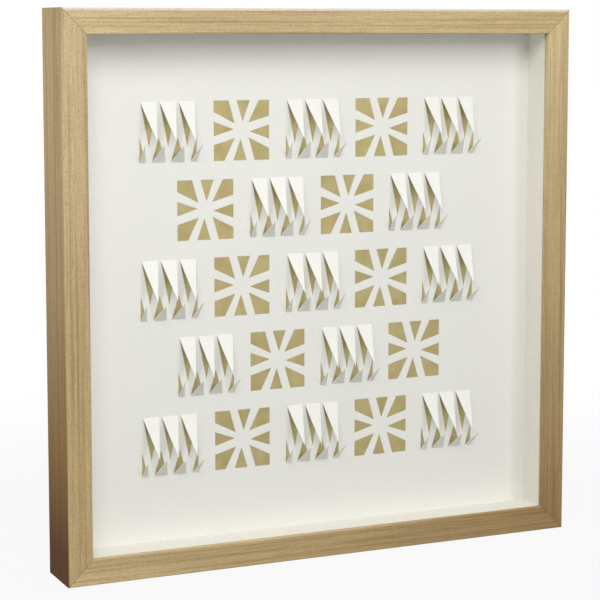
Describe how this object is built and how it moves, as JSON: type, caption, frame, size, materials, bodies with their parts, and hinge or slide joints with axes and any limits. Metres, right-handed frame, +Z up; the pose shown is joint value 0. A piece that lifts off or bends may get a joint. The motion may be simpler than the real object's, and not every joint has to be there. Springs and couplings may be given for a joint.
{
  "type": "framed cut and folded paper art",
  "caption": "Deep square wooden shadow-box frame with a pane, white spacers and a white paper sheet whose cut windows and raised triangular flaps show a gold card behind.",
  "frame": {"origin": "on the floor, under the middle of the overall box", "axes": "+Z up, the picture faces -Y, +X to the viewer's right"},
  "size_m": [0.508, 0.059, 0.508],
  "materials": {
    "frame_wood": "pale open-grained wood, matt clear coat",
    "clear_pane": "clear, polished",
    "spacer_board": "matt off-white",
    "white_paper": "matt white",
    "gold_card": "dull gold",
    "hardboard": "smooth brown hardboard",
    "steel": "plain steel",
    "plated_steel": "plated, pressed",
    "bumper_rubber": "soft, translucent grey"
  },
  "bodies": {
    "root": {"rail_top": "frame_wood", "rail_bottom": "frame_wood", "rail_left": "frame_wood", "rail_right": "frame_wood", "glazing_pane": "clear_pane", "spacer_top": "spacer_board", "spacer_bottom": "spacer_board", "spacer_left": "spacer_board", "spacer_right": "spacer_board", "paper_sheet": "white_paper", "gold_card": "gold_card", "backing_board": "hardboard", "corner_nails": "steel", "framing_points": "steel", "hanger_left": "plated_steel", "hanger_right": "plated_steel", "hanger_nails": "plated_steel", "bumper_left": "bumper_rubber", "bumper_right": "bumper_rubber"}
  },
  "joints": []
}
